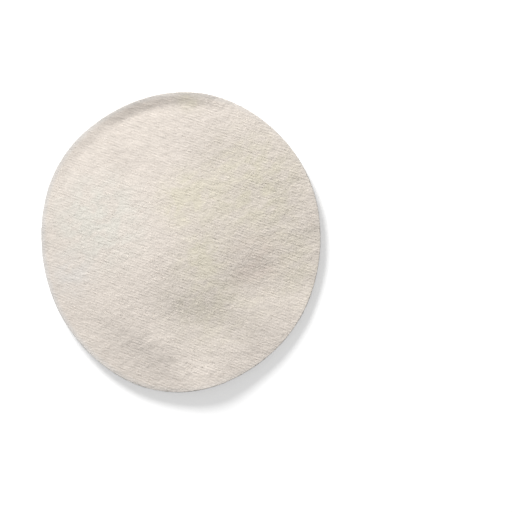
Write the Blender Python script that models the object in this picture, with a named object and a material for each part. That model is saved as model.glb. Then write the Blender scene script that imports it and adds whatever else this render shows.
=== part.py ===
"""A cotton pad: one oval disc of felted cotton fibre, lying on a flat surface.

Metres, +Z up. The origin lies under the middle of the pad, on the surface that it rests on.
+X runs across the pad and +Y along its longer side.
"""

import math
import random

import bpy
from mathutils import Vector
from mathutils.geometry import delaunay_2d_cdt

MM = 0.001

# Outline, seen from above: an oval with a few shallow lobes, as a relaxed web keeps after cutting
PAD_WIDTH = 56.0 * MM
PAD_LENGTH = 60.2 * MM
# Each lobe set: how many lobes go round, how far they stand out, and the direction of one in degrees
LOBE_SETS = (
    (3, 0.24 * MM, 28),
    (4, 0.13 * MM, -19),
    (6, 0.10 * MM, 25),
)

# Section
PAD_THICKNESS = 1.95 * MM
RIM_ROUND_ABOVE = 0.10 * MM
RIM_ROUND_BELOW = 0.10 * MM

# Upturned lip along one side of the rim. Each rise runs between two directions in degrees.
LIP_WIDTH = 3.0 * MM
LIP_CREST_OUTSIDE = 0.25 * MM
LIP_RISES = (
    (0.33 * MM, 66, 130),
    (0.21 * MM, 66, 160),
)
LIP_FADE = 20

# Soft unevenness of the sheet. Each row gives a place as shares of the half width and half length,
# the reach along and across, the direction of the long side in degrees, and the height.
# A loft swells or thins the fibre under the upper face only.
LOFTS = (
    ((-0.10, -0.18), 16.0 * MM, 9.5 * MM, -70, 0.66 * MM),
    ((0.31, -0.61), 9.7 * MM, 7.5 * MM, -60, -0.71 * MM),
    ((0.77, -0.30), 8.0 * MM, 16.0 * MM, 41, -0.52 * MM),
    ((0.55, -0.29), 4.5 * MM, 6.1 * MM, 79, -0.48 * MM),
    ((-0.31, -0.58), 11.0 * MM, 3.3 * MM, -43, 0.22 * MM),
    ((0.10, -0.51), 6.5 * MM, 3.0 * MM, -12, -0.20 * MM),
    ((0.96, -0.50), 5.0 * MM, 4.0 * MM, -61, 0.20 * MM),
    ((0.29, 0.54), 5.0 * MM, 2.5 * MM, 18, -0.07 * MM),
)
# A lift raises both faces off the surface below.
LIFTS = (
    ((0.31, 0.83), 18.0 * MM, 7.3 * MM, -44, 0.72 * MM),
    ((0.27, -1.00), 15.0 * MM, 8.3 * MM, -92, 0.88 * MM),
)
LIFT_THAT_SETTLES = 0.10 * MM

# Fine ribs that the water jets leave in the web. Their direction is in degrees, and they fan out a little
# from a point this far off.
JET_PITCH = 0.525 * MM
JET_DEPTH = 0.05 * MM
JET_DIRECTION = -20.0
JET_FAN = 700 * MM
JET_WANDER = 0.05 * MM
JET_WANDER_LENGTH = 9.0 * MM
WEAKEST_RIB = 0.35
RIB_AT_ROW_END = 0.25
RIB_SEED = 7

# Mesh
RIM_POINTS = 168
RIB_POINT_SPACING = 3.5 * MM
UNDERSIDE_SPACING = 3.2 * MM
ROW_END_GAP = 0.20 * MM
ROUND_STEPS = 2
CROSSING_STEPS = 24
SMOOTH_ANGLE = math.radians(50)
WHOLE_HULL = 0
INSIDE_ONLY = 1
JOIN_DISTANCE = 1e-9

COTTON_COLOUR = (0.71, 0.65, 0.58, 1.0)
COTTON_ROUGHNESS = 0.95
COTTON_SHEEN = 0.15


def clear_scene():
    for item in list(bpy.data.objects):
        bpy.data.objects.remove(item, do_unlink=True)


def smooth_step(share):
    share = min(1.0, max(0.0, share))
    return share * share * (3.0 - 2.0 * share)


def raw_radius(angle):
    """Distance from the oval's own centre to the rim."""
    half_width = PAD_WIDTH / 2
    half_length = PAD_LENGTH / 2
    oval = half_width * half_length / math.hypot(
        half_length * math.cos(angle), half_width * math.sin(angle)
    )
    lobes = sum(
        height * math.cos(count * (angle - math.radians(crest)))
        for count, height, crest in LOBE_SETS
    )
    return oval + lobes


def raw_rim(angle):
    radius = raw_radius(angle)
    return radius * math.cos(angle), radius * math.sin(angle)


def outline_frame():
    """The lobes push the outline a little off its size and centre: its middle and its two stretches."""
    points = [raw_rim(math.tau * step / RIM_POINTS) for step in range(RIM_POINTS)]
    low_x = min(x for x, _ in points)
    high_x = max(x for x, _ in points)
    low_y = min(y for _, y in points)
    high_y = max(y for _, y in points)
    middle = ((low_x + high_x) / 2, (low_y + high_y) / 2)
    return middle, PAD_WIDTH / (high_x - low_x), PAD_LENGTH / (high_y - low_y)


OUTLINE_MIDDLE, STRETCH_X, STRETCH_Y = outline_frame()


def rim_point(angle, inset=0.0):
    """A point on the rim, or inset from it towards the middle."""
    radius = raw_radius(angle) - inset
    x = (radius * math.cos(angle) - OUTLINE_MIDDLE[0]) * STRETCH_X
    y = (radius * math.sin(angle) - OUTLINE_MIDDLE[1]) * STRETCH_Y
    return x, y


def depth_inside(x, y):
    """How far a point lies inside the rim, and its direction from the oval's centre."""
    raw_x = x / STRETCH_X + OUTLINE_MIDDLE[0]
    raw_y = y / STRETCH_Y + OUTLINE_MIDDLE[1]
    angle = math.atan2(raw_y, raw_x)
    return raw_radius(angle) - math.hypot(raw_x, raw_y), angle


def swell(x, y, place, along, across, direction, height):
    """A soft mound, or a hollow where the height is below zero."""
    turn = math.radians(direction)
    off_x = x - place[0] * PAD_WIDTH / 2
    off_y = y - place[1] * PAD_LENGTH / 2
    far_along = (off_x * math.cos(turn) + off_y * math.sin(turn)) / along
    far_across = (off_y * math.cos(turn) - off_x * math.sin(turn)) / across
    return height * math.exp(-(far_along**2) - far_across**2)


def lip_height(x, y):
    depth, angle = depth_inside(x, y)
    degrees = math.degrees(angle) % 360
    rise = sum(
        height * smooth_step((degrees - start) / LIP_FADE) * smooth_step((end - degrees) / LIP_FADE)
        for height, start, end in LIP_RISES
    )
    return rise * smooth_step((LIP_WIDTH - depth) / (LIP_WIDTH + LIP_CREST_OUTSIDE))


def lift_height(x, y):
    """Height of the sheet above the surface below, before it settles."""
    return lip_height(x, y) + sum(swell(x, y, *lift) for lift in LIFTS)


def underside_height(x, y):
    return max(0.0, lift_height(x, y) - LIFT_THAT_SETTLES)


def upper_height(x, y):
    loft = sum(swell(x, y, *item) for item in LOFTS)
    return lift_height(x, y) + PAD_THICKNESS + loft


def round_steps(radius):
    """Inset and drop along a quarter round, from the flat side to the wall."""
    for step in range(ROUND_STEPS + 1):
        turn = math.pi / 2 * step / ROUND_STEPS
        yield radius * (1.0 - math.sin(turn)), radius * (1.0 - math.cos(turn))


def rim_ring(inset, height_at, height_inset, drop):
    """One ring of points round the pad. The height is taken where the flat side ends."""
    ring = []
    for step in range(RIM_POINTS):
        angle = math.tau * step / RIM_POINTS
        x, y = rim_point(angle, inset)
        ring.append(Vector((x, y, height_at(*rim_point(angle, height_inset)) + drop)))
    return ring


def rim_rings():
    """Rings from the edge of the underside, round the cut rim, to the edge of the upper face."""
    below = [
        rim_ring(inset, underside_height, RIM_ROUND_BELOW, drop)
        for inset, drop in round_steps(RIM_ROUND_BELOW)
    ]
    above = [
        rim_ring(inset, upper_height, RIM_ROUND_ABOVE, -drop)
        for inset, drop in round_steps(RIM_ROUND_ABOVE)
    ]
    return below + above[::-1]


def row_end(across, side, inset):
    """Where a row that runs along the ribs meets the inset rim on one side, in the ribs' own frame."""
    near = row_middle(across)
    far = side * PAD_LENGTH
    for _ in range(CROSSING_STEPS):
        middle = (near + far) / 2
        depth, _ = depth_inside(*from_rib_frame(middle, across))
        if depth > inset:
            near = middle
        else:
            far = middle
    return near


def row_middle(across):
    """Where a row of an oval is deepest inside: the middles of an oval's rows lie on one line."""
    turn = math.radians(JET_DIRECTION)
    half_width = PAD_WIDTH / 2
    half_length = PAD_LENGTH / 2
    along_size = (math.cos(turn) / half_width) ** 2 + (math.sin(turn) / half_length) ** 2
    mixed_size = math.sin(turn) * math.cos(turn) * (1 / half_length**2 - 1 / half_width**2)
    return -across * mixed_size / along_size


def from_rib_frame(along, across):
    turn = math.radians(JET_DIRECTION)
    across *= 1.0 + along / JET_FAN
    x = along * math.cos(turn) - across * math.sin(turn)
    y = along * math.sin(turn) + across * math.cos(turn)
    return x, y


def wander(along, across):
    phase = math.tau * along / JET_WANDER_LENGTH + across / (JET_WANDER_LENGTH / 2)
    return JET_WANDER * math.sin(phase)


def row_stations(across):
    """Places along one row: its ends, where it crosses the lip's foot, and evenly spaced between them."""
    insets = (RIM_ROUND_ABOVE + ROW_END_GAP, LIP_WIDTH)
    crossings = [(row_end(across, -1, inset), row_end(across, 1, inset)) for inset in insets]
    crossings = [pair for pair in crossings if pair[1] - pair[0] > RIB_POINT_SPACING / 2]
    if not crossings:
        return []
    marks = [pair[0] for pair in crossings] + [pair[1] for pair in reversed(crossings)]
    stations = []
    for near, far in zip(marks, marks[1:]):
        count = max(1, round((far - near) / RIB_POINT_SPACING))
        stations += [near + (far - near) * step / count for step in range(count)]
    return stations + [marks[-1]]


def rib_rows():
    """Rows of points on the crests and in the furrows of the ribs, each with its place along the row."""
    chance = random.Random(RIB_SEED)
    rows = []
    row_gap = JET_PITCH / 2
    last_row = int(PAD_LENGTH / 2 / row_gap)
    for row in range(-last_row, last_row + 1):
        across = row * row_gap
        stations = row_stations(across)
        side = 1 if row % 2 == 0 else -1
        points = []
        for along in stations:
            x, y = from_rib_frame(along, across + wander(along, across))
            strength = WEAKEST_RIB + (1.0 - WEAKEST_RIB) * chance.random()
            if along in (stations[0], stations[-1]):
                strength *= RIB_AT_ROW_END
            rib = side * strength * JET_DEPTH / 2
            points.append((along, Vector((x, y, upper_height(x, y) + rib))))
        if points:
            rows.append(points)
    return rows


def stitch_rows(lower, upper):
    """Triangles between two rows of (place along, index), always stepping on in the row that lags."""
    faces = []
    low = 0
    high = 0
    while low + 1 < len(lower) or high + 1 < len(upper):
        if high + 1 == len(upper):
            step_low = True
        elif low + 1 == len(lower):
            step_low = False
        else:
            step_low = lower[low + 1][0] < upper[high + 1][0]
        if step_low:
            faces.append((lower[low][1], lower[low + 1][1], upper[high][1]))
            low += 1
        else:
            faces.append((lower[low][1], upper[high + 1][1], upper[high][1]))
            high += 1
    return faces


def loop_round_rows(rows):
    """The border of the ribbed field, anticlockwise from above, as indices."""
    right = [row[-1][1] for row in rows[1:-1]]
    left = [row[0][1] for row in reversed(rows[1:-1])]
    first = [index for _, index in rows[0]]
    last = [index for _, index in reversed(rows[-1])]
    return first + right + last + left


def holds(border, x, y):
    """Whether a closed border of points goes round a place, seen from above."""
    inside = False
    for start, end in zip(border, border[1:] + border[:1]):
        if (start.y > y) != (end.y > y):
            crossing = start.x + (end.x - start.x) * (y - start.y) / (end.y - start.y)
            inside ^= x < crossing
    return inside


def triangles_between(ring, loop, vertices):
    """Triangles between a ring and the loop inside it, both given as indices."""
    used = ring + loop
    flat = [vertices[index].to_2d() for index in used]
    edges = [(step, (step + 1) % len(ring)) for step in range(len(ring))]
    edges += [(len(ring) + step, len(ring) + (step + 1) % len(loop)) for step in range(len(loop))]
    found = delaunay_2d_cdt(flat, edges, [], WHOLE_HULL, JOIN_DISTANCE)
    outer = flat[: len(ring)]
    inner = flat[len(ring) :]
    faces = []
    for face in found[2]:
        corners = [found[3][corner][0] for corner in face]
        middle = sum((flat[corner] for corner in corners), Vector((0.0, 0.0))) / len(corners)
        if holds(outer, *middle) and not holds(inner, *middle):
            faces.append([used[corner] for corner in corners])
    return faces


def underside_points():
    """A triangular grid over the underside."""
    points = []
    row_gap = UNDERSIDE_SPACING * math.sin(math.pi / 3)
    rows = int(PAD_LENGTH / 2 / row_gap)
    columns = int(PAD_WIDTH / 2 / UNDERSIDE_SPACING) + 1
    for row in range(-rows, rows + 1):
        for column in range(-columns, columns + 1):
            x = (column + 0.5 * (row % 2)) * UNDERSIDE_SPACING
            y = row * row_gap
            depth, _ = depth_inside(x, y)
            if depth > RIM_ROUND_BELOW + UNDERSIDE_SPACING / 2:
                points.append(Vector((x, y, underside_height(x, y))))
    return points


def triangles_inside(ring, inner_points):
    """Triangles between a ring and the points inside it, as indices into ring + inner_points."""
    flat = [point.to_2d() for point in ring + inner_points]
    found = delaunay_2d_cdt(flat, [], [list(range(len(ring)))], INSIDE_ONLY, JOIN_DISTANCE)
    return [[found[3][corner][0] for corner in face] for face in found[2]]


def pad_mesh():
    rings = rim_rings()
    vertices = [point for ring in rings for point in ring]
    faces = []
    for level in range(len(rings) - 1):
        for step in range(RIM_POINTS):
            following = (step + 1) % RIM_POINTS
            low = level * RIM_POINTS
            high = low + RIM_POINTS
            faces.append((low + step, low + following, high + following, high + step))

    upper_ring = list(range(len(vertices) - RIM_POINTS, len(vertices)))
    rows = []
    for row in rib_rows():
        rows.append([(along, len(vertices) + step) for step, (along, _) in enumerate(row)])
        vertices += [point for _, point in row]
    for lower, upper in zip(rows, rows[1:]):
        faces += stitch_rows(lower, upper)
    faces += triangles_between(upper_ring, loop_round_rows(rows), vertices)

    grid = underside_points()
    under_index = list(range(RIM_POINTS)) + [len(vertices) + step for step in range(len(grid))]
    for face in triangles_inside(rings[0], grid):
        faces.append([under_index[corner] for corner in reversed(face)])
    vertices += grid

    mesh = bpy.data.meshes.new("cotton_pad")
    mesh.from_pydata(vertices, [], faces)
    mesh.validate()
    mesh.shade_smooth()
    mesh.set_sharp_from_angle(angle=SMOOTH_ANGLE)
    return mesh


def cotton_material():
    material = bpy.data.materials.new("cotton")
    material.use_nodes = True
    shader = material.node_tree.nodes["Principled BSDF"]
    shader.inputs["Base Color"].default_value = COTTON_COLOUR
    shader.inputs["Roughness"].default_value = COTTON_ROUGHNESS
    shader.inputs["Metallic"].default_value = 0.0
    shader.inputs["Sheen Weight"].default_value = COTTON_SHEEN
    return material


def build_pad():
    pad = bpy.data.objects.new("cotton_pad", pad_mesh())
    pad.data.materials.append(cotton_material())
    bpy.context.scene.collection.objects.link(pad)
    return pad


clear_scene()
build_pad()
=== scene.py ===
import math

import bpy
import numpy as np
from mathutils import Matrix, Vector
from mathutils.geometry import delaunay_2d_cdt


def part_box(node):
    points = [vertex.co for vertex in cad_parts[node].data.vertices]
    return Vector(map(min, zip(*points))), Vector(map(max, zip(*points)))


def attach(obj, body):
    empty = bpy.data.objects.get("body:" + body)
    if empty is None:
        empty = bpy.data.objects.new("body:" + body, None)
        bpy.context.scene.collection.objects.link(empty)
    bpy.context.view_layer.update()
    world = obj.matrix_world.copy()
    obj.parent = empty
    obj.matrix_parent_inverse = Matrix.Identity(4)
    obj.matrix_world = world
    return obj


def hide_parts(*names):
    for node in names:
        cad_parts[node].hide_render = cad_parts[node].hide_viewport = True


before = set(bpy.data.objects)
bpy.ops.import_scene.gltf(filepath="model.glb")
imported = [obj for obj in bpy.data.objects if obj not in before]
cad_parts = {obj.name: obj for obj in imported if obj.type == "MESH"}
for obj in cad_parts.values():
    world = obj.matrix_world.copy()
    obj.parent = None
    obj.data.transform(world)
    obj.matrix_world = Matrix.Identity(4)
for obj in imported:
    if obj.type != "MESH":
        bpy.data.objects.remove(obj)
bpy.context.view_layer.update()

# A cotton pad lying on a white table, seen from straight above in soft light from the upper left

node_low, node_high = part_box("cotton_pad")

MM = 0.001

# Outline, with the lobe sets of the CAD source: how many lobes, how far they stand out, direction of one
PAD_WIDTH = node_high.x - node_low.x
PAD_LENGTH = node_high.y - node_low.y
LOBE_SETS = (
    (3, 0.24 * MM, 28),
    (4, 0.13 * MM, -19),
    (6, 0.10 * MM, 25),
)
OUTLINE_CHECKS = 168
MEAN_RADIUS = (PAD_WIDTH + PAD_LENGTH) / 4

# Section
PAD_THICKNESS = 1.95 * MM
RIM_ROUND_ABOVE = 0.05 * MM
RIM_ROUND_BELOW = 0.10 * MM
WALL_UNDERCUT = 0.09 * MM

# Upturned lip along one side of the rim: its rises, each between two directions in degrees
LIP_WIDTH = 3.0 * MM
LIP_CREST_OUTSIDE = 0.25 * MM
LIP_RISES = (
    (0.33 * MM, 66, 130),
    (0.21 * MM, 66, 160),
)
LIP_FADE = 20

# Soft unevenness of the sheet. Each row gives a place as shares of the half width and half length,
# the reach along and across, the direction of the long side in degrees, and the height.
# A loft swells or thins the upper face only, and a lift raises both faces.
LOFTS = (
    ((-0.10, -0.18), 16.0 * MM, 9.5 * MM, -70, 0.66 * MM),
    ((0.31, -0.61), 9.7 * MM, 7.5 * MM, -60, -0.71 * MM),
    ((0.77, -0.30), 8.0 * MM, 16.0 * MM, 41, -0.52 * MM),
    ((0.55, -0.29), 4.5 * MM, 6.1 * MM, 79, -0.48 * MM),
    ((-0.31, -0.58), 11.0 * MM, 3.3 * MM, -43, 0.22 * MM),
    ((0.10, -0.51), 6.5 * MM, 3.0 * MM, -12, -0.20 * MM),
    ((0.96, -0.50), 5.0 * MM, 4.0 * MM, -61, 0.20 * MM),
    ((0.29, 0.54), 5.0 * MM, 2.5 * MM, 18, -0.07 * MM),
)
LIFTS = (
    ((0.31, 0.83), 18.0 * MM, 7.3 * MM, -44, 0.72 * MM),
    ((0.27, -1.00), 15.0 * MM, 8.3 * MM, -92, 0.88 * MM),
)
LIFT_THAT_SETTLES = 0.10 * MM

# Ribs that the water jets leave in the web. Their direction is in degrees, and they fan out a little
# from a point this far off.
JET_PITCH = 0.525 * MM
JET_DIRECTION = -20.0
JET_FAN = 700 * MM
JET_WANDER = 0.05 * MM
JET_WANDER_LENGTH = 9.0 * MM
RIB_HEIGHT = 0.038 * MM
STREAK_LENGTH = 0.9 * MM
STREAK_BREAKS = 1.0
MEAN_STREAK = 0.5
STRONGEST_STREAK = 1.3
RIB_SHIFT = 0.04 * MM
RIB_SHIFT_LENGTH = 1.6 * MM

# Tufts, bundles and strands of the web, along the ribs and across them at an angle: direction in degrees,
# length, width, height
CROSS_DIRECTION = 32.0
WEB_LAYERS = (
    (JET_DIRECTION, 8.0 * MM, 3.6 * MM, 0.030 * MM),
    (CROSS_DIRECTION, 7.0 * MM, 3.4 * MM, 0.027 * MM),
    (JET_DIRECTION, 3.6 * MM, 1.40 * MM, 0.014 * MM),
    (CROSS_DIRECTION, 3.0 * MM, 1.40 * MM, 0.012 * MM),
    (JET_DIRECTION, 1.8 * MM, 0.65 * MM, 0.014 * MM),
    (CROSS_DIRECTION, 1.4 * MM, 0.65 * MM, 0.009 * MM),
    (JET_DIRECTION, 0.9 * MM, 0.32 * MM, 0.011 * MM),
    (CROSS_DIRECTION, 0.6 * MM, 0.34 * MM, 0.014 * MM),
)
WEB_DIRECTION = 5.0
FLECK_DIRECTION = -32.0

# The texture is stronger towards one side of the pad, a direction in degrees, and fades at the rim
STRONG_SIDE = -26.0
STRONG_SIDE_GAIN = 0.35
WEB_AT_RIM = 0.3
WEB_FADE_WIDTH = 0.7 * MM

# Mesh of the felt
ROWS_PER_RIB = 4
UPPER_POINT_SPACING = 0.30 * MM
LOWER_POINT_SPACING = 1.10 * MM
RIM_POINTS = 840
ROUND_STEPS = 3
WALL_STEPS = 5
FIELD_GAP = 0.11 * MM
CROSSING_STEPS = 26
WHOLE_HULL = 0
JOIN_DISTANCE = 1e-9
UNDERSIDE_CLEARANCE = 0.035 * MM
# The wander of the ribs starts softly at both ends of a row, over one part of this many
ROW_END_STEEPNESS = 20

# Roughness of the cut rim
RIM_FRAY = 0.018 * MM
RIM_FRAY_LENGTH = 0.55 * MM
RIM_FRAY_LAYER = 0.16 * MM
RIM_WAVE = 0.025 * MM
RIM_WAVE_LENGTH = 2.4 * MM
RIM_WAVE_LAYER = 0.5 * MM

# Painted shade: the cut rim is painted a little darker and greyer than the face, most of all on one side,
# in degrees
RIM_SHADE_SIDE = 170.0
RIM_SHADE_WIDTH = 1.2 * MM
RIM_PAINTED_SHADE_BRIGHTNESS = 0.93
RIM_PAINTED_SHADE_SATURATION = 0.45

# Painted shade: the cut wall is painted darker than the pressed face, for the shade among its open
# fibres, from a little below the rim
WALL_PAINTED_SHADE_BRIGHTNESS = 0.70
WALL_SHADE_START = 0.01 * MM
WALL_SHADE_FULL = 0.16 * MM

# Loose fibres are thin closed tubes
FIBRE_TAPER = np.array([0.0, 0.8, 1.0, 1.0, 0.8, 0.0])
FIBRE_STATIONS = len(FIBRE_TAPER)
TUBE_CORNERS = (math.pi / 2, math.pi * 7 / 6, math.pi * 11 / 6)
TUBE_SIDES = len(TUBE_CORNERS)
STEEP_RUN = 0.8

# Fibres on the two faces. Spreads and bends are in degrees, the sink is in radii, and the tone's spread
# is that of a beta distribution.
FACE_FIBRES = 8000
TRIES_PER_FIBRE = 2
FACE_FIBRE_LENGTH = (0.9 * MM, 2.2 * MM)
FACE_FIBRE_RADIUS = (0.005 * MM, 0.010 * MM)
FACE_FIBRE_BEND = 20
FACE_FIBRE_OVERHANG = 0.15 * MM
FACE_FIBRE_ARCH = 0.003 * MM
FACE_FIBRE_ARCH_LIMIT = 0.08 * MM
FACE_FIBRE_SINK = (-0.8, 0.2)
FACE_FIBRE_TONE_SPREAD = (1.2, 2.4)
SHARE_ALONG_RIBS = 0.75
SPREAD_ALONG_RIBS = 4.0
SPREAD_ON_RIB = 0.05 * MM
SPREAD_OF_OTHERS = 38.0
SHARE_WITH_LOOSE_END = 0.02
LOOSE_END_RISE = (0.05 * MM, 0.25 * MM)
LOOSE_END_CURVE = 3
LOWEST_RADII = 1.1

# Fibres matted along the cut wall. Their levels are shares of the wall's height.
EDGE_FIBRES = 5000
EDGE_FIBRE_LENGTH = (0.7 * MM, 2.4 * MM)
EDGE_FIBRE_RADIUS = (0.008 * MM, 0.013 * MM)
EDGE_FIBRE_SLOPE = 13
EDGE_FIBRE_LEVELS = (0.03, 0.97)
EDGE_FIBRE_WAVE = 0.05 * MM
EDGE_FIBRE_HALF_WAVES = 1.5
EDGE_FIBRE_ARCH = 0.012 * MM
EDGE_FIBRE_ARCH_LIMIT = 0.10 * MM
EDGE_FIBRE_UNEVENNESS = 0.01 * MM
EDGE_FIBRE_STAND_OUT = 0.004 * MM
GAP_ABOVE_FOOT = 0.03 * MM
GAP_BELOW_RIM = 0.02 * MM

# Short free ends that stand out from the wall, some of them in a tuft on one side. Angles are in degrees.
FREE_ENDS = 1600
TUFT_ENDS = 400
TUFT_DIRECTION = 88
TUFT_SPREAD = 16
FREE_END_LENGTH = (0.15 * MM, 0.45 * MM)
FREE_END_RADIUS = (0.005 * MM, 0.008 * MM)
FREE_END_LEVELS = (0.10, 0.97)
FREE_END_SWING = 38
FREE_END_TILT = 22
FREE_END_CURL = 35
FREE_END_ROOT = 0.06 * MM

# Random tables and seeds
TABLE_SIZE = 256
RIB_SEED = 11
SHIFT_SEED = 12
FRAY_SEED = 13
WAVE_SEED = 14
FIRST_WEB_SEED = 15
UPPER_FIBRE_SEED = 21
LOWER_FIBRE_SEED = 22
EDGE_FIBRE_SEED = 23

# Colours, as linear values
COTTON_COLOUR = (0.719, 0.654, 0.591, 1.0)
CREAM_COLOUR = (0.709, 0.657, 0.545, 1.0)
GREY_GREEN_COLOUR = (0.693, 0.664, 0.602, 1.0)
COOL_COLOUR = (0.704, 0.661, 0.616, 1.0)
PINK_COLOUR = (0.719, 0.629, 0.568, 1.0)
# A darker and a lighter colour for patches of painted shade and painted light
PAINTED_SHADE_COLOUR = (0.610, 0.555, 0.502, 1.0)
PAINTED_LIGHT_COLOUR = (0.800, 0.729, 0.658, 1.0)
FLOOR_COLOUR = (0.93, 0.93, 0.93, 1.0)

# Soft patches of other colour round places on the upper face: place and reach in millimetres, colour,
# strength. The darker and lighter patches are painted shade and painted light for the soft unevenness
# of the sheet; the others are tints of the cotton.
TINTS_AND_PAINTED_SHADING = (
    ((14.5, -3.5), 8.0, PAINTED_SHADE_COLOUR, 0.75),
    ((7.0, -13.5), 8.0, PAINTED_SHADE_COLOUR, 0.40),
    ((-1.0, -10.0), 6.0, PAINTED_SHADE_COLOUR, 0.30),
    ((-11.0, -19.0), 6.0, PAINTED_SHADE_COLOUR, 0.40),
    ((-4.5, -23.5), 6.0, PAINTED_SHADE_COLOUR, 0.40),
    ((17.0, 8.0), 7.0, PAINTED_SHADE_COLOUR, 0.40),
    ((7.0, 18.5), 7.0, PAINTED_SHADE_COLOUR, 0.30),
    ((-12.0, 18.0), 8.0, PAINTED_SHADE_COLOUR, 0.30),
    ((2.5, 28.7), 5.0, PAINTED_SHADE_COLOUR, 0.60),
    ((-27.0, 2.0), 12.0, PAINTED_SHADE_COLOUR, 0.35),
    ((26.0, 3.0), 9.0, PAINTED_SHADE_COLOUR, 0.35),
    ((15.0, -18.0), 7.0, PAINTED_SHADE_COLOUR, 0.25),
    ((23.5, -4.0), 4.0, PAINTED_SHADE_COLOUR, 0.40),
    ((4.0, -26.0), 7.0, PAINTED_LIGHT_COLOUR, 0.75),
    ((-3.0, -18.5), 5.0, PAINTED_LIGHT_COLOUR, 0.45),
    ((25.0, -12.5), 5.0, PAINTED_LIGHT_COLOUR, 0.45),
    ((-20.0, -21.0), 6.0, PAINTED_LIGHT_COLOUR, 0.45),
    ((14.0, 11.5), 16.0, CREAM_COLOUR, 0.80),
    ((20.0, -4.0), 14.0, CREAM_COLOUR, 0.50),
    ((4.5, -3.0), 8.0, CREAM_COLOUR, 0.80),
    ((1.5, 8.5), 9.0, CREAM_COLOUR, 1.00),
    ((2.0, 28.5), 4.0, CREAM_COLOUR, 0.60),
    ((6.0, -12.0), 14.0, CREAM_COLOUR, 0.45),
    ((-16.5, 4.0), 14.0, GREY_GREEN_COLOUR, 0.90),
    ((-22.0, -6.5), 7.0, COOL_COLOUR, 0.80),
    ((15.0, -4.0), 9.0, PINK_COLOUR, 0.60),
)

# Variation of the cotton's colour: length and width of the blotches, and their darkest and lightest
# brightness. The tints come and go in patches, with a weakest and a strongest share.
STREAK_SIZE = (1.4 * MM, 0.36 * MM)
STREAK_TONES = (0.955, 1.045)
FLECK_SIZE = (0.36 * MM, 0.27 * MM)
FLECK_TONES = (0.91, 1.09)
CLOUD_SIZE = (4.5 * MM, 2.6 * MM)
CLOUD_TONES = (0.98, 1.02)
PATCH_SIZE = (3.2 * MM, 2.2 * MM)
PATCH_SHARES = (0.45, 1.55)
COLOUR_DETAIL = 2.0

# Brightness of the felt in its furrows and on its crests, which is painted shade in the furrows and
# painted light on the crests, and of the darkest and lightest fibres
FELT_PAINTED_SHADING_TONES = (0.97, 1.03)
FIBRE_TONES = (0.98, 1.20)

# Finish of the cotton, and its finest relief, which is bump: length and width of its grains, and depth
FINE_GRAIN = (0.8 * MM, 0.26 * MM)
CROSS_GRAIN = (0.36 * MM, 0.28 * MM)
RELIEF_DETAIL = 3.0
BUMP_DEPTH = 0.066 * MM
WEAKEST_BUMP = 0.45
COTTON_ROUGHNESS = (0.90, 1.0)
COTTON_SPECULAR = 0.15
COTTON_SHEEN = 0.12
COTTON_SHEEN_ROUGHNESS = 0.6

# Part of a noise's range that is used: most of it, its middle, or the narrow part round its mean
MOST_OF_NOISE = (0.25, 0.75)
MIDDLE_OF_NOISE = (0.3, 0.7)
MEAN_OF_NOISE = (0.40, 0.60)

# Floor
FLOOR_HALF_WIDTH = 1.5
FLOOR_ROUGHNESS = 0.9
FLOOR_GRAIN = 6 * MM
FLOOR_TONES = (0.995, 1.005)

# Light and camera. The key light's direction and elevation are in degrees.
AMBIENT_LEVEL = 0.29
KEY_DIRECTION = 119
KEY_ELEVATION = 27
KEY_DISTANCE = 350 * MM
KEY_SIZE = 190 * MM
KEY_POWER = 2.1
FLOOR_GLOW = 0.42
VIEW_CENTRE = (15.10 * MM, -2.78 * MM)
VIEW_WIDTH = 102.75 * MM
CAMERA_HEIGHT = 700 * MM
SENSOR_WIDTH = 36.0
CLIP_START = 0.01


def smooth_step(share):
    share = np.clip(share, 0.0, 1.0)
    return share * share * (3.0 - 2.0 * share)


def raw_radius(angle):
    """Distance from the oval's own centre to the rim."""
    half_width = PAD_WIDTH / 2
    half_length = PAD_LENGTH / 2
    oval = half_width * half_length / np.hypot(half_length * np.cos(angle), half_width * np.sin(angle))
    lobes = sum(
        height * np.cos(count * (angle - math.radians(crest)))
        for count, height, crest in LOBE_SETS
    )
    return oval + lobes


def outline_frame():
    """The lobes push the outline a little off its size and centre: its middle and its two stretches."""
    angle = np.arange(OUTLINE_CHECKS) * math.tau / OUTLINE_CHECKS
    x = raw_radius(angle) * np.cos(angle)
    y = raw_radius(angle) * np.sin(angle)
    middle = ((x.min() + x.max()) / 2, (y.min() + y.max()) / 2)
    return middle, PAD_WIDTH / np.ptp(x), PAD_LENGTH / np.ptp(y)


OUTLINE_MIDDLE, STRETCH_X, STRETCH_Y = outline_frame()


def rim_point(angle, inset=0.0):
    """Points on the rim, or inset from it towards the middle."""
    radius = raw_radius(angle) - inset
    x = (radius * np.cos(angle) - OUTLINE_MIDDLE[0]) * STRETCH_X
    y = (radius * np.sin(angle) - OUTLINE_MIDDLE[1]) * STRETCH_Y
    return x, y


def depth_inside(x, y):
    """How far points lie inside the rim, and their directions from the oval's centre."""
    raw_x = x / STRETCH_X + OUTLINE_MIDDLE[0]
    raw_y = y / STRETCH_Y + OUTLINE_MIDDLE[1]
    angle = np.arctan2(raw_y, raw_x)
    return raw_radius(angle) - np.hypot(raw_x, raw_y), angle


def turned(x, y, direction):
    """Coordinates along and across a direction in degrees."""
    turn = math.radians(direction)
    return x * math.cos(turn) + y * math.sin(turn), y * math.cos(turn) - x * math.sin(turn)


def to_ribs(x, y):
    """Coordinates along and across the ribs, which fan out."""
    along, across = turned(x, y, JET_DIRECTION)
    return along, across / (1.0 + along / JET_FAN)


def from_ribs(along, across):
    return turned(along, across * (1.0 + along / JET_FAN), -JET_DIRECTION)


def swell(x, y, place, along, across, direction, height):
    """A soft mound, or a hollow where the height is below zero."""
    far_along, far_across = turned(x - place[0] * PAD_WIDTH / 2, y - place[1] * PAD_LENGTH / 2, direction)
    return height * np.exp(-((far_along / along) ** 2) - (far_across / across) ** 2)


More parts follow.
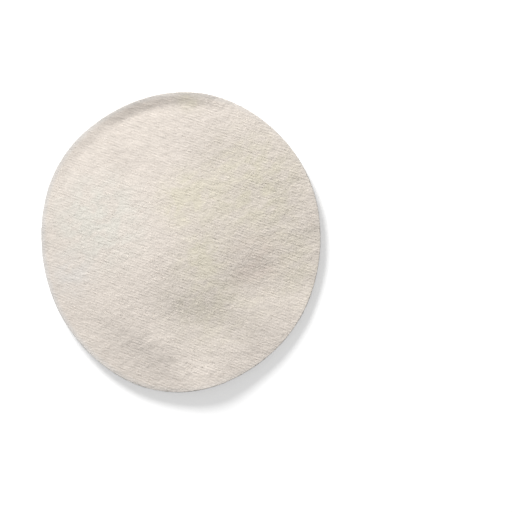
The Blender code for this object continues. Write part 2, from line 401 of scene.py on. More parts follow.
def lip_height(x, y):
    depth, angle = depth_inside(x, y)
    degrees = np.degrees(angle) % 360
    rise = 0.0
    for height, start, end in LIP_RISES:
        coming = smooth_step((degrees - start) / LIP_FADE)
        going = smooth_step((end - degrees) / LIP_FADE)
        rise = rise + height * coming * going
    return rise * smooth_step((LIP_WIDTH - depth) / (LIP_WIDTH + LIP_CREST_OUTSIDE))


def lift_height(x, y):
    return lip_height(x, y) + sum(swell(x, y, *lift) for lift in LIFTS)


def underside_height(x, y):
    return np.maximum(0.0, lift_height(x, y) - LIFT_THAT_SETTLES)


def upper_height(x, y):
    return lift_height(x, y) + PAD_THICKNESS + sum(swell(x, y, *loft) for loft in LOFTS)


# Texture of the web


def random_table(seed):
    return np.random.default_rng(seed).uniform(-1.0, 1.0, (TABLE_SIZE, TABLE_SIZE))


RIB_TABLE = random_table(RIB_SEED)
SHIFT_TABLE = random_table(SHIFT_SEED)
FRAY_TABLE = random_table(FRAY_SEED)
WAVE_TABLE = random_table(WAVE_SEED)
WEB_TABLES = [random_table(FIRST_WEB_SEED + layer) for layer in range(len(WEB_LAYERS))]
WEB_REACH = RIB_HEIGHT / 2 + sum(height for _, _, _, height in WEB_LAYERS)


def soft_noise(u, v, table):
    """Smooth noise from -1 to 1 with one random value at each whole step of u and v."""
    low_u = np.floor(u).astype(int)
    low_v = np.floor(v).astype(int)
    part_u = smooth_step(u - low_u)
    part_v = smooth_step(v - low_v)
    this_u = low_u % TABLE_SIZE
    this_v = low_v % TABLE_SIZE
    next_u = (low_u + 1) % TABLE_SIZE
    next_v = (low_v + 1) % TABLE_SIZE
    here = table[this_u, this_v] * (1 - part_u) + table[next_u, this_v] * part_u
    there = table[this_u, next_v] * (1 - part_u) + table[next_u, next_v] * part_u
    return here * (1 - part_v) + there * part_v


def jet_wander(along, across):
    phase = math.tau * along / JET_WANDER_LENGTH + across / (JET_WANDER_LENGTH / 2)
    return JET_WANDER * np.sin(phase)


def rib_offset(along, across):
    """How far the ribs lie off their even spacing: a slow wander, and small shifts of single ribs."""
    shift = soft_noise(along / RIB_SHIFT_LENGTH, across / JET_PITCH, SHIFT_TABLE)
    return jet_wander(along, across) + RIB_SHIFT * shift


def rib_height(x, y):
    """Height of the ribs alone. Each rib comes and goes along its length."""
    along, across = to_ribs(x, y)
    streak = soft_noise(along / STREAK_LENGTH, 2 * across / JET_PITCH, RIB_TABLE)
    strength = np.clip(MEAN_STREAK + STREAK_BREAKS * streak, 0.0, STRONGEST_STREAK)
    place = across - rib_offset(along, across)
    return RIB_HEIGHT / 2 * strength * np.cos(math.tau * place / JET_PITCH)


def web_height(x, y):
    """Height of the ribs, tufts, bundles and strands about the smooth face."""
    total = rib_height(x, y)
    for (direction, length, width, height), table in zip(WEB_LAYERS, WEB_TABLES):
        along, across = turned(x, y, direction)
        total = total + height * soft_noise(along / length, across / width, table)
    towards, _ = turned(x, y, STRONG_SIDE)
    depth, _ = depth_inside(x, y)
    fade = WEB_AT_RIM + (1.0 - WEB_AT_RIM) * smooth_step(depth / WEB_FADE_WIDTH)
    return total * fade * (1.0 + STRONG_SIDE_GAIN * towards / (PAD_WIDTH / 2))


def upper_face(x, y):
    """Finished upper face, rounded off at the rim, also for places a little outside it."""
    depth, _ = depth_inside(x, y)
    short = np.clip(RIM_ROUND_ABOVE - depth, 0.0, RIM_ROUND_ABOVE)
    drop = RIM_ROUND_ABOVE - np.sqrt(RIM_ROUND_ABOVE**2 - short**2)
    return upper_height(x, y) - drop + web_height(x, y)


def lower_web(x, y):
    """How far the texture of the underside keeps it above its lowest points."""
    return UNDERSIDE_CLEARANCE + WEB_REACH + web_height(-x, y)


def lower_face(x, y):
    depth, _ = depth_inside(x, y)
    short = np.clip(RIM_ROUND_BELOW - depth, 0.0, RIM_ROUND_BELOW)
    rise = RIM_ROUND_BELOW - np.sqrt(RIM_ROUND_BELOW**2 - short**2)
    return underside_height(x, y) + rise + lower_web(x, y)


# Values that the material reads from the meshes


def painted_rim_shade_share(x, y):
    """Share of painted rim shade: 1 at the rim on its darkest side, falling to 0 inside its strip and on
    the other side.
    """
    depth, angle = depth_inside(x, y)
    side = 0.5 + 0.5 * np.cos(angle - math.radians(RIM_SHADE_SIDE))
    return side * smooth_step(1.0 - depth / RIM_SHADE_WIDTH)


def painted_wall_shade_share(x, y, z):
    """Share of painted wall shade: 0 on the faces and 1 on the cut wall below the rim."""
    depth, _ = depth_inside(x, y)
    below = upper_height(x, y) - z
    down = smooth_step((below - WALL_SHADE_START) / (WALL_SHADE_FULL - WALL_SHADE_START))
    return down * smooth_step(1.0 - depth / (RIM_ROUND_BELOW + WALL_UNDERCUT + FIELD_GAP))


def set_values(mesh, name, values):
    """Gives each point of the mesh a named value."""
    attribute = mesh.attributes.new(name, "FLOAT", "POINT")
    attribute.data.foreach_set("value", values.astype(np.float32))


# Mesh of the felt


def row_middle(across):
    """Where a row of an oval is deepest inside: the middles of an oval's rows lie on one line."""
    turn = math.radians(JET_DIRECTION)
    half_width = PAD_WIDTH / 2
    half_length = PAD_LENGTH / 2
    along_size = (math.cos(turn) / half_width) ** 2 + (math.sin(turn) / half_length) ** 2
    mixed_size = math.sin(turn) * math.cos(turn) * (1 / half_length**2 - 1 / half_width**2)
    return -across * mixed_size / along_size


def row_ends(across, side, inset):
    """Where rows along the ribs meet the inset rim on one side, in the ribs' own frame."""
    near = row_middle(across)
    far = np.full_like(across, side * PAD_LENGTH)
    for _ in range(CROSSING_STEPS):
        middle = (near + far) / 2
        depth, _ = depth_inside(*from_ribs(middle, across))
        near = np.where(depth > inset, middle, near)
        far = np.where(depth > inset, far, middle)
    return near


def stitch_rows(lower, upper):
    """Triangles between two rows of (place along, index), always stepping on in the row that lags."""
    faces = []
    low = 0
    high = 0
    while low + 1 < len(lower) or high + 1 < len(upper):
        if high + 1 == len(upper):
            step_low = True
        elif low + 1 == len(lower):
            step_low = False
        else:
            step_low = lower[low + 1][0] < upper[high + 1][0]
        if step_low:
            faces.append((lower[low][1], lower[low + 1][1], upper[high][1]))
            low += 1
        else:
            faces.append((lower[low][1], upper[high + 1][1], upper[high][1]))
            high += 1
    return faces


def ribbed_field(spacing, inset):
    """Points in rows along the ribs inside the inset rim, their triangles, and their border in order."""
    row_gap = JET_PITCH / ROWS_PER_RIB
    last_row = int(PAD_LENGTH / 2 / row_gap)
    across = np.arange(-last_row, last_row + 1) * row_gap
    starts = row_ends(across, -1, inset)
    ends = row_ends(across, 1, inset)
    points = []
    rows = []
    for place, start, end in zip(across, starts, ends):
        if end - start < spacing:
            continue
        count = max(1, round((end - start) / spacing))
        along = np.linspace(start, end, count + 1)
        inner = np.minimum(along - start, end - along) / (end - start)
        moved = place + jet_wander(along, place) * smooth_step(inner * ROW_END_STEEPNESS)
        rows.append([(step, len(points) + index) for index, step in enumerate(along)])
        points += list(zip(*from_ribs(along, moved)))
    faces = []
    for lower, upper in zip(rows, rows[1:]):
        faces += stitch_rows(lower, upper)
    border = [index for _, index in rows[0]] + [row[-1][1] for row in rows[1:-1]]
    border += [index for _, index in reversed(rows[-1])] + [row[0][1] for row in reversed(rows[1:-1])]
    return np.array(points), faces, border


def inside_border(border, points):
    """For each point, whether the closed border of points goes round it."""
    start = border
    end = np.roll(border, -1, axis=0)
    inside = np.zeros(len(points), dtype=bool)
    for index, (x, y) in enumerate(points):
        spans = (start[:, 1] > y) != (end[:, 1] > y)
        rise = np.where(spans, end[:, 1] - start[:, 1], 1.0)
        crossing = start[:, 0] + (end[:, 0] - start[:, 0]) * (y - start[:, 1]) / rise
        inside[index] = np.count_nonzero(spans & (x < crossing)) % 2 == 1
    return inside


def triangles_between(ring, loop):
    """Triangles between a ring of points and the loop inside it, as indices into ring then loop."""
    points = np.vstack((ring, loop))
    edges = [(step, (step + 1) % len(ring)) for step in range(len(ring))]
    edges += [(len(ring) + step, len(ring) + (step + 1) % len(loop)) for step in range(len(loop))]
    found = delaunay_2d_cdt([Vector(point) for point in points], edges, [], WHOLE_HULL, JOIN_DISTANCE)
    corners = np.array([[found[3][corner][0] for corner in face] for face in found[2]])
    middles = points[corners].mean(axis=1)
    kept = inside_border(ring, middles) & ~inside_border(loop, middles)
    return corners[kept]


def rim_rings():
    """Rings of points from the edge of the underside round the cut rim to the edge of the upper face."""
    angle = np.arange(RIM_POINTS) * math.tau / RIM_POINTS
    arc = angle * MEAN_RADIUS
    upper_edge = rim_point(angle, RIM_ROUND_ABOVE)
    low = underside_height(*rim_point(angle, RIM_ROUND_BELOW)) + lower_web(*rim_point(angle, 0.0))
    high = upper_height(*upper_edge) + web_height(*upper_edge)
    stations = []
    for step in range(ROUND_STEPS + 1):
        turn = math.pi / 2 * step / ROUND_STEPS
        rise = RIM_ROUND_BELOW * (1 - math.cos(turn))
        stations.append((RIM_ROUND_BELOW * (1 - math.sin(turn)), low + rise))
    wall_low = low + RIM_ROUND_BELOW
    wall_high = high - RIM_ROUND_ABOVE
    for step in range(1, WALL_STEPS):
        stations.append((0.0, wall_low + (wall_high - wall_low) * step / WALL_STEPS))
    for step in range(ROUND_STEPS, -1, -1):
        turn = math.pi / 2 * step / ROUND_STEPS
        drop = RIM_ROUND_ABOVE * (1 - math.cos(turn))
        stations.append((RIM_ROUND_ABOVE * (1 - math.sin(turn)), high - drop))
    rings = []
    for level, (inset, height) in enumerate(stations):
        inset = inset + WALL_UNDERCUT * (high - height) / (high - low)
        fray = RIM_FRAY * soft_noise(arc / RIM_FRAY_LENGTH, height / RIM_FRAY_LAYER, FRAY_TABLE)
        wave = RIM_WAVE * soft_noise(arc / RIM_WAVE_LENGTH, height / RIM_WAVE_LAYER, WAVE_TABLE)
        free = 0.0 if level in (0, len(stations) - 1) else 1.0
        x, y = rim_point(angle, inset - free * (fray + wave))
        rings.append(np.column_stack((x, y, height)))
    return rings


def add_face(vertices, faces, ring, face, spacing, inset, upward):
    """Adds one face of the pad, and the strip that joins it to a ring of the rim."""
    flat, triangles, border = ribbed_field(spacing, inset)
    first = len(vertices)
    used = np.concatenate((ring, first + np.array(border)))
    strip = used[triangles_between(vertices[ring][:, :2], flat[border])]
    added = np.vstack((first + np.array(triangles), strip))
    if not upward:
        added = added[:, ::-1]
    vertices = np.vstack((vertices, np.column_stack((flat, face(flat[:, 0], flat[:, 1])))))
    return vertices, faces + added.tolist()


def felt_mesh():
    rings = rim_rings()
    vertices = np.vstack(rings)
    faces = []
    steps = np.arange(RIM_POINTS)
    following = (steps + 1) % RIM_POINTS
    for level in range(len(rings) - 1):
        low = level * RIM_POINTS
        high = low + RIM_POINTS
        corners = (low + steps, low + following, high + following, high + steps)
        faces += np.column_stack(corners).tolist()

    lower_ring = np.arange(RIM_POINTS)
    upper_ring = lower_ring + len(vertices) - RIM_POINTS
    upper_inset = RIM_ROUND_ABOVE + FIELD_GAP
    lower_inset = RIM_ROUND_BELOW + WALL_UNDERCUT + FIELD_GAP
    for ring, face, spacing, inset, upward in (
        (upper_ring, upper_face, UPPER_POINT_SPACING, upper_inset, True),
        (lower_ring, lower_face, LOWER_POINT_SPACING, lower_inset, False),
    ):
        vertices, faces = add_face(vertices, faces, ring, face, spacing, inset, upward)

    mesh = bpy.data.meshes.new("felt_pad")
    mesh.from_pydata(vertices.tolist(), [], faces)
    mesh.validate()
    mesh.shade_smooth()
    # The tone of the felt paints shade into the furrows between the ribs and light onto their crests
    crest = rib_height(vertices[:, 0], vertices[:, 1]) / (RIB_HEIGHT / 2)
    set_values(mesh, "tone", np.clip(crest, -1.0, 1.0))
    # Shares of the painted shade at the rim and on the cut wall
    set_values(mesh, "rim", painted_rim_shade_share(vertices[:, 0], vertices[:, 1]))
    set_values(mesh, "wall", painted_wall_shade_share(*vertices.T))
    return mesh


# Loose fibres


def along_fibre(step, heading, bend):
    """Points along fibres in plan, about their middles. heading and bend are in radians."""
    segments = FIBRE_STATIONS - 1
    share = (np.arange(segments) + 0.5) / segments - 0.5
    angle = heading[:, None] + bend[:, None] * share
    x = np.cumsum(np.cos(angle) * step[:, None], axis=1)
    y = np.cumsum(np.sin(angle) * step[:, None], axis=1)
    x = np.column_stack((np.zeros(len(step)), x))
    y = np.column_stack((np.zeros(len(step)), y))
    return x - x.mean(axis=1, keepdims=True), y - y.mean(axis=1, keepdims=True)


def fibre_mesh(name, centres, radius, tone):
    """Closed three-sided tubes with pointed ends. centres holds fibres, stations and coordinates."""
    count = len(centres)
    run = np.gradient(centres, axis=1)
    run /= np.linalg.norm(run, axis=2, keepdims=True)
    up = np.where(np.abs(run[:, :, 2:]) > STEEP_RUN, (1.0, 0.0, 0.0), (0.0, 0.0, 1.0))
    side = np.cross(run, up)
    side /= np.linalg.norm(side, axis=2, keepdims=True)
    top = np.cross(side, run)
    size = radius[:, None, None] * FIBRE_TAPER[None, :, None]
    corners = []
    for turn in TUBE_CORNERS:
        corners.append(centres + size * (side * math.cos(turn) + top * math.sin(turn)))
    rings = np.stack(corners, axis=2)[:, 1:-1]
    points = np.concatenate((centres[:, :1], rings.reshape(count, -1, 3), centres[:, -1:]), axis=1)
    per_fibre = points.shape[1]

    tip = per_fibre - 1
    last = tip - TUBE_SIDES
    pattern = []
    for corner in range(TUBE_SIDES):
        following = (corner + 1) % TUBE_SIDES
        pattern.append((0, 1 + corner, 1 + following))
        for near in range(1, last, TUBE_SIDES):
            far = near + TUBE_SIDES
            pattern.append((near + following, near + corner, far + corner, far + following))
        pattern.append((last + following, last + corner, tip))
    faces = []
    for fibre in range(count):
        start = fibre * per_fibre
        faces += [[start + index for index in face] for face in pattern]

    mesh = bpy.data.meshes.new(name)
    mesh.from_pydata(points.reshape(-1, 3).tolist(), [], faces)
    mesh.validate()
    mesh.shade_smooth()
    set_values(mesh, "tone", np.repeat(tone, per_fibre))
    middle = centres.mean(axis=1)
    # The fibres take the painted shade of the rim and the wall where they lie
    set_values(mesh, "rim", np.repeat(painted_rim_shade_share(middle[:, 0], middle[:, 1]), per_fibre))
    set_values(mesh, "wall", np.repeat(painted_wall_shade_share(*middle.T), per_fibre))
    return mesh


def face_fibres(name, seed, face, side):
    """Fibres lying on one face, mostly along the ribs. Some arch off it, and a few have a loose end."""
    chance = np.random.default_rng(seed)
    tries = TRIES_PER_FIBRE * FACE_FIBRES
    x = chance.uniform(-0.5, 0.5, tries) * PAD_WIDTH
    y = chance.uniform(-0.5, 0.5, tries) * PAD_LENGTH
    length = chance.uniform(*FACE_FIBRE_LENGTH, tries)
    along_ribs = chance.random(tries) < SHARE_ALONG_RIBS
    along, across = to_ribs(x, y)
    heading = np.where(
        along_ribs,
        JET_DIRECTION + np.degrees(across / JET_FAN) + chance.normal(0.0, SPREAD_ALONG_RIBS, tries),
        chance.normal(WEB_DIRECTION, SPREAD_OF_OTHERS, tries),
    )
    offset = rib_offset(along, across)
    crest = np.round((across - offset) / JET_PITCH) * JET_PITCH + offset
    on_rib = crest + chance.normal(0.0, SPREAD_ON_RIB, tries)
    x, y = from_ribs(along, np.where(along_ribs, on_rib, across))
    bend = chance.normal(0.0, math.radians(FACE_FIBRE_BEND), tries)
    off_x, off_y = along_fibre(length / (FIBRE_STATIONS - 1), np.radians(heading), bend)
    x = x[:, None] + off_x
    y = y[:, None] + off_y
    depth, _ = depth_inside(x, y)
    kept = np.flatnonzero(depth.min(axis=1) > -FACE_FIBRE_OVERHANG)[:FACE_FIBRES]
    x = x[kept]
    y = y[kept]
    radius = chance.uniform(*FACE_FIBRE_RADIUS, len(kept))
    share = np.linspace(-1.0, 1.0, FIBRE_STATIONS)
    arch = np.minimum(chance.exponential(FACE_FIBRE_ARCH, len(kept)), FACE_FIBRE_ARCH_LIMIT)
    sunk = chance.uniform(*FACE_FIBRE_SINK, len(kept)) * radius
    rise = sunk[:, None] + arch[:, None] * (1.0 - share**2)
    has_loose_end = chance.random(len(kept)) < SHARE_WITH_LOOSE_END
    loose = has_loose_end * chance.uniform(*LOOSE_END_RISE, len(kept))
    rise = rise + loose[:, None] * np.clip((share + 1) / 2, 0, 1) ** LOOSE_END_CURVE
    height = face(x, y) + side * rise
    if side < 0:
        height = np.maximum(height, LOWEST_RADII * radius[:, None])
    tone = 2.0 * chance.beta(*FACE_FIBRE_TONE_SPREAD, len(kept)) - 1.0
    return fibre_mesh(name, np.stack((x, y, height), axis=2), radius, tone)


def wall_inset(rise, wall_height):
    """How far the rounded rim lies inside its widest line, at a height above its foot."""
    below = np.clip(RIM_ROUND_BELOW - rise, 0.0, RIM_ROUND_BELOW)
    above = np.clip(RIM_ROUND_ABOVE - (wall_height - rise), 0.0, RIM_ROUND_ABOVE)
    inset = RIM_ROUND_BELOW - np.sqrt(RIM_ROUND_BELOW**2 - below**2)
    inset = inset + WALL_UNDERCUT * (1 - rise / wall_height)
    return inset + RIM_ROUND_ABOVE - np.sqrt(RIM_ROUND_ABOVE**2 - above**2)


def wall_foot(angle):
    """Height of the rim's foot, and height of the rim above it."""
    foot = underside_height(*rim_point(angle, RIM_ROUND_BELOW)) + 0.5 * UNDERSIDE_CLEARANCE
    return foot, upper_height(*rim_point(angle, RIM_ROUND_ABOVE)) - foot


def matted_fibres(chance):
    """Centre lines and radii of the fibres matted along the cut wall."""
    share = np.linspace(-1.0, 1.0, FIBRE_STATIONS)
    middle = chance.uniform(0.0, math.tau, EDGE_FIBRES)
    length = chance.uniform(*EDGE_FIBRE_LENGTH, EDGE_FIBRES)
    slope = chance.normal(0.0, math.radians(EDGE_FIBRE_SLOPE), EDGE_FIBRES)
    angle = middle[:, None] + share * (length * np.cos(slope) / 2 / MEAN_RADIUS)[:, None]
    foot, tall = wall_foot(angle)
    level = chance.uniform(*EDGE_FIBRE_LEVELS, EDGE_FIBRES)[:, None] * tall
    phase = chance.uniform(0, math.tau, EDGE_FIBRES)[:, None]
    wave = EDGE_FIBRE_WAVE * np.sin(share * math.pi * EDGE_FIBRE_HALF_WAVES + phase)
    rise = level + share * (length * np.sin(slope) / 2)[:, None] + wave
    rise = np.clip(rise, GAP_ABOVE_FOOT, tall - GAP_BELOW_RIM)
    arch = np.minimum(chance.exponential(EDGE_FIBRE_ARCH, EDGE_FIBRES), EDGE_FIBRE_ARCH_LIMIT)
    uneven = chance.uniform(-EDGE_FIBRE_UNEVENNESS, EDGE_FIBRE_UNEVENNESS, EDGE_FIBRES)
    out = (arch + uneven)[:, None] * (1.0 - share**2) + EDGE_FIBRE_STAND_OUT
    x, y = rim_point(angle, wall_inset(rise, tall) - out)
    radius = chance.uniform(*EDGE_FIBRE_RADIUS, EDGE_FIBRES)
    return np.stack((x, y, foot + rise), axis=2), radius


def free_ends(chance):
    """Centre lines and radii of the short ends that stand out from the cut wall."""
    start = np.concatenate((
        chance.uniform(0.0, math.tau, FREE_ENDS - TUFT_ENDS),
        np.radians(chance.normal(TUFT_DIRECTION, TUFT_SPREAD, TUFT_ENDS)),
    ))
    foot, tall = wall_foot(start)
    rise = chance.uniform(*FREE_END_LEVELS, FREE_ENDS) * tall
    length = chance.uniform(*FREE_END_LENGTH, FREE_ENDS)
    swing = chance.normal(0.0, math.radians(FREE_END_SWING), FREE_ENDS)
    tilt = chance.normal(0.0, math.radians(FREE_END_TILT), FREE_ENDS)
    curl = chance.normal(0.0, math.radians(FREE_END_CURL), FREE_ENDS)
    base_x, base_y = rim_point(start, wall_inset(rise, tall) + FREE_END_ROOT)
    reach = np.linspace(0.0, 1.0, FIBRE_STATIONS)
    heading = start[:, None] + swing[:, None] + curl[:, None] * reach
    flat = np.cos(tilt)[:, None] * length[:, None] * reach
    x = base_x[:, None] + np.cos(heading) * flat
    y = base_y[:, None] + np.sin(heading) * flat
    height = (foot + rise)[:, None] + np.sin(tilt)[:, None] * length[:, None] * reach
    radius = chance.uniform(*FREE_END_RADIUS, FREE_ENDS)
    return np.stack((x, y, np.maximum(height, GAP_ABOVE_FOOT)), axis=2), radius


def edge_fibres(name, seed):
    """Fibres matted along the cut rim, and short free ends that stand out from it."""
    chance = np.random.default_rng(seed)
    matted, matted_radius = matted_fibres(chance)
    ends, ends_radius = free_ends(chance)
    tone = chance.uniform(-1.0, 1.0, EDGE_FIBRES + FREE_ENDS)
    radius = np.concatenate((matted_radius, ends_radius))
    return fibre_mesh(name, np.concatenate((matted, ends)), radius, tone)


# Materials


def new_node(tree, kind, **settings):
    node = tree.nodes.new(kind)
    for name, value in settings.items():
        setattr(node, name, value)
    return node


def stretched_noise(tree, place, direction, length, width, detail):
    """Noise with blotches of one length and width, in metres, that run in one direction in degrees."""
    mapping = new_node(tree, "ShaderNodeMapping", vector_type="TEXTURE")
    mapping.inputs["Rotation"].default_value = (0.0, 0.0, math.radians(direction))
    mapping.inputs["Scale"].default_value = (length, width, width)
    tree.links.new(place, mapping.inputs["Vector"])
    noise = new_node(tree, "ShaderNodeTexNoise")
    noise.inputs["Scale"].default_value = 1.0
    noise.inputs["Detail"].default_value = detail
    tree.links.new(mapping.outputs["Vector"], noise.inputs["Vector"])
    return noise.outputs["Fac"]


def in_range(tree, value, from_low, from_high, to_low, to_high, smooth=False):
    node = new_node(tree, "ShaderNodeMapRange")
    if smooth:
        node.interpolation_type = "SMOOTHSTEP"
    tree.links.new(value, node.inputs["Value"])
    node.inputs["From Min"].default_value = from_low
    node.inputs["From Max"].default_value = from_high
    node.inputs["To Min"].default_value = to_low
    node.inputs["To Max"].default_value = to_high
    return node.outputs["Result"]


def combined(tree, operation, first, second):
    node = new_node(tree, "ShaderNodeMath", operation=operation)
    tree.links.new(first, node.inputs[0])
    tree.links.new(second, node.inputs[1])
    return node.outputs["Value"]


def point_value(tree, name):
    """The value that set_values gave the mesh under this name."""
    return new_node(tree, "ShaderNodeAttribute", attribute_name=name).outputs["Fac"]


def tinted(tree, colour, place, patches, centre, reach, tint, strength):
    """The colour moved towards a tint round one place, in patches."""
    distance = new_node(tree, "ShaderNodeVectorMath", operation="DISTANCE")
    distance.inputs[1].default_value = (centre[0], centre[1], PAD_THICKNESS)
    tree.links.new(place, distance.inputs[0])
    near = in_range(tree, distance.outputs["Value"], 0.0, reach, strength, 0.0, smooth=True)
    factor = combined(tree, "MULTIPLY", near, patches)
    mix = new_node(tree, "ShaderNodeMix", data_type="RGBA")
    tree.links.new(factor, mix.inputs["Factor"])
    if isinstance(colour, tuple):
        mix.inputs["A"].default_value = colour
    else:
        tree.links.new(colour, mix.inputs["A"])
    mix.inputs["B"].default_value = tint
    return mix.outputs["Result"]


def strong_side_socket(tree, place):
    """Strength of the fine relief, which grows towards the pad's strong side."""
    towards = new_node(tree, "ShaderNodeVectorMath", operation="DOT_PRODUCT")
    turn = math.radians(STRONG_SIDE)
    towards.inputs[1].default_value = (math.cos(turn), math.sin(turn), 0.0)
    tree.links.new(place, towards.inputs[0])
    return in_range(tree, towards.outputs["Value"], -PAD_WIDTH / 2, PAD_WIDTH / 2, WEAKEST_BUMP, 1.0)


def cotton_material(name, tones):
    """Off-white felted cotton. Its tones are painted shade in the furrows and painted light on the
    crests, or for dark and light fibres.
    """
    material = bpy.data.materials.new(name)
    material.use_nodes = True
    tree = material.node_tree
    shader = tree.nodes["Principled BSDF"]
    place = new_node(tree, "ShaderNodeTexCoord").outputs["Object"]

    blotches = stretched_noise(tree, place, CROSS_DIRECTION, *PATCH_SIZE, COLOUR_DETAIL)
    patches = in_range(tree, blotches, *MEAN_OF_NOISE, *PATCH_SHARES)
    colour = COTTON_COLOUR
    # Some of these tints are patches of painted shade and painted light
    for centre, reach, tint, strength in TINTS_AND_PAINTED_SHADING:
        centre = (centre[0] * MM, centre[1] * MM)
        colour = tinted(tree, colour, place, patches, centre, reach * MM, tint, strength)

    streaks = stretched_noise(tree, place, JET_DIRECTION, *STREAK_SIZE, COLOUR_DETAIL)
    flecks = stretched_noise(tree, place, FLECK_DIRECTION, *FLECK_SIZE, COLOUR_DETAIL)
    clouds = stretched_noise(tree, place, WEB_DIRECTION, *CLOUD_SIZE, COLOUR_DETAIL)
    # Painted shade: darker and greyer at the rim, and darker on the cut wall
    rim = point_value(tree, "rim")
    brightness = in_range(tree, streaks, *MOST_OF_NOISE, *STREAK_TONES)
    for factor in (
        in_range(tree, clouds, *MIDDLE_OF_NOISE, *CLOUD_TONES),
        in_range(tree, flecks, *MOST_OF_NOISE, *FLECK_TONES),
        in_range(tree, point_value(tree, "tone"), -1.0, 1.0, *tones),
        in_range(tree, rim, 0.0, 1.0, 1.0, RIM_PAINTED_SHADE_BRIGHTNESS),
        in_range(tree, point_value(tree, "wall"), 0.0, 1.0, 1.0, WALL_PAINTED_SHADE_BRIGHTNESS),
    ):
        brightness = combined(tree, "MULTIPLY", brightness, factor)
    shade = new_node(tree, "ShaderNodeHueSaturation")
    tree.links.new(colour, shade.inputs["Color"])
    tree.links.new(in_range(tree, rim, 0.0, 1.0, 1.0, RIM_PAINTED_SHADE_SATURATION), shade.inputs["Saturation"])
    tree.links.new(brightness, shade.inputs["Value"])
    tree.links.new(shade.outputs["Color"], shader.inputs["Base Color"])

    fine = stretched_noise(tree, place, JET_DIRECTION, *FINE_GRAIN, RELIEF_DETAIL)
    cross = stretched_noise(tree, place, CROSS_DIRECTION, *CROSS_GRAIN, RELIEF_DETAIL)
    rough = in_range(tree, fine, *MIDDLE_OF_NOISE, *COTTON_ROUGHNESS)
    tree.links.new(rough, shader.inputs["Roughness"])
    bump = new_node(tree, "ShaderNodeBump")
    bump.inputs["Distance"].default_value = BUMP_DEPTH
    tree.links.new(strong_side_socket(tree, place), bump.inputs["Strength"])
    tree.links.new(combined(tree, "ADD", fine, cross), bump.inputs["Height"])
    tree.links.new(bump.outputs["Normal"], shader.inputs["Normal"])

    shader.inputs["Specular IOR Level"].default_value = COTTON_SPECULAR
    shader.inputs["Sheen Weight"].default_value = COTTON_SHEEN
    shader.inputs["Sheen Roughness"].default_value = COTTON_SHEEN_ROUGHNESS
    return material


def light_reach_socket(tree):
    """1 for rays from the camera, a mirror or a clear surface, and 0 for rays that light the object."""
    path = new_node(tree, "ShaderNodeLightPath").outputs
    either = combined(tree, "MAXIMUM", path["Is Camera Ray"], path["Is Glossy Ray"])
    return combined(tree, "MAXIMUM", either, path["Is Transmission Ray"])


def floor_material():
    material = bpy.data.materials.new("white_table")
    material.use_nodes = True
    tree = material.node_tree
    shader = tree.nodes["Principled BSDF"]
    shader.inputs["Roughness"].default_value = FLOOR_ROUGHNESS
    shader.inputs["Specular IOR Level"].default_value = 0.0
    place = new_node(tree, "ShaderNodeTexCoord").outputs["Object"]
    grain = stretched_noise(tree, place, 0.0, FLOOR_GRAIN, FLOOR_GRAIN, RELIEF_DETAIL)
    shade = new_node(tree, "ShaderNodeHueSaturation")
    shade.inputs["Color"].default_value = FLOOR_COLOUR
    tree.links.new(in_range(tree, grain, *MIDDLE_OF_NOISE, *FLOOR_TONES), shade.inputs["Value"])
    tree.links.new(shade.outputs["Color"], shader.inputs["Base Color"])
    shader.inputs["Emission Color"].default_value = (1.0, 1.0, 1.0, 1.0)
    glow = in_range(tree, light_reach_socket(tree), 0.0, 1.0, 0.0, FLOOR_GLOW)
    tree.links.new(glow, shader.inputs["Emission Strength"])
    return material


# The scene


def add_object(name, data):
    item = bpy.data.objects.new(name, data)
    bpy.context.scene.collection.objects.link(item)
    return item


def add_piece(name, mesh, material):
    piece = add_object(name, mesh)
    mesh.materials.append(material)
    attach(piece, "root")
    return piece


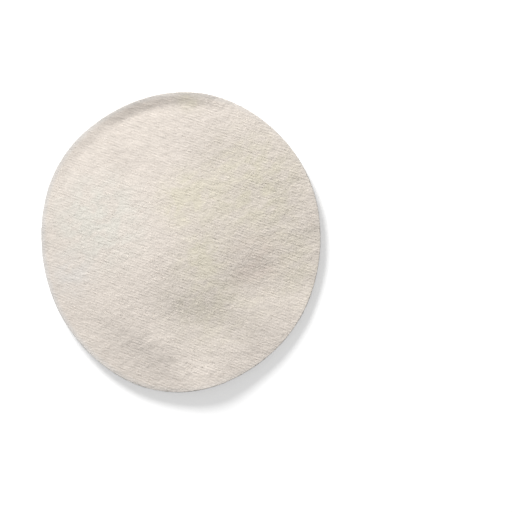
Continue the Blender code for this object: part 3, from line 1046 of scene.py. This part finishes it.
def add_floor():
    half = FLOOR_HALF_WIDTH
    mesh = bpy.data.meshes.new("floor")
    corners = [(-half, -half, 0.0), (half, -half, 0.0), (half, half, 0.0), (-half, half, 0.0)]
    mesh.from_pydata(corners, [], [(0, 1, 2, 3)])
    mesh.materials.append(floor_material())
    floor = add_object("floor", mesh)


def add_world():
    world = bpy.data.worlds.new("studio")
    bpy.context.scene.world = world
    world.use_nodes = True
    tree = world.node_tree
    background = tree.nodes["Background"]
    background.inputs["Color"].default_value = (1.0, 1.0, 1.0, 1.0)
    strength = in_range(tree, light_reach_socket(tree), 0.0, 1.0, AMBIENT_LEVEL, 1.0)
    tree.links.new(strength, background.inputs["Strength"])


def add_key_light():
    light = bpy.data.lights.new("key", "AREA")
    light.shape = "DISK"
    light.size = KEY_SIZE
    light.energy = KEY_POWER
    key = add_object("key", light)
    direction = math.radians(KEY_DIRECTION)
    elevation = math.radians(KEY_ELEVATION)
    towards = Vector((
        math.cos(direction) * math.cos(elevation),
        math.sin(direction) * math.cos(elevation),
        math.sin(elevation),
    ))
    key.location = towards * KEY_DISTANCE
    key.rotation_euler = towards.to_track_quat("Z", "Y").to_euler()
    key.visible_camera = False


def add_camera():
    data = bpy.data.cameras.new("camera")
    data.sensor_width = SENSOR_WIDTH
    data.lens = SENSOR_WIDTH * (CAMERA_HEIGHT - PAD_THICKNESS) / VIEW_WIDTH
    data.clip_start = CLIP_START
    camera = add_object("camera", data)
    camera.location = (VIEW_CENTRE[0], VIEW_CENTRE[1], CAMERA_HEIGHT)
    bpy.context.scene.camera = camera


def add_pad():
    felt = add_piece("felt_pad", felt_mesh(), cotton_material("felted_cotton", FELT_PAINTED_SHADING_TONES))
    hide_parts("cotton_pad")
    loose = cotton_material("loose_cotton", FIBRE_TONES)
    upper = face_fibres("upper_fibres", UPPER_FIBRE_SEED, upper_face, 1)
    lower = face_fibres("lower_fibres", LOWER_FIBRE_SEED, lower_face, -1)
    edge = edge_fibres("edge_fibres", EDGE_FIBRE_SEED)
    add_piece("upper_fibres", upper, loose)
    add_piece("lower_fibres", lower, loose)
    add_piece("edge_fibres", edge, loose)


add_camera()
add_pad()
add_floor()
add_world()
add_key_light()
bpy.context.scene.view_settings.view_transform = "Standard"
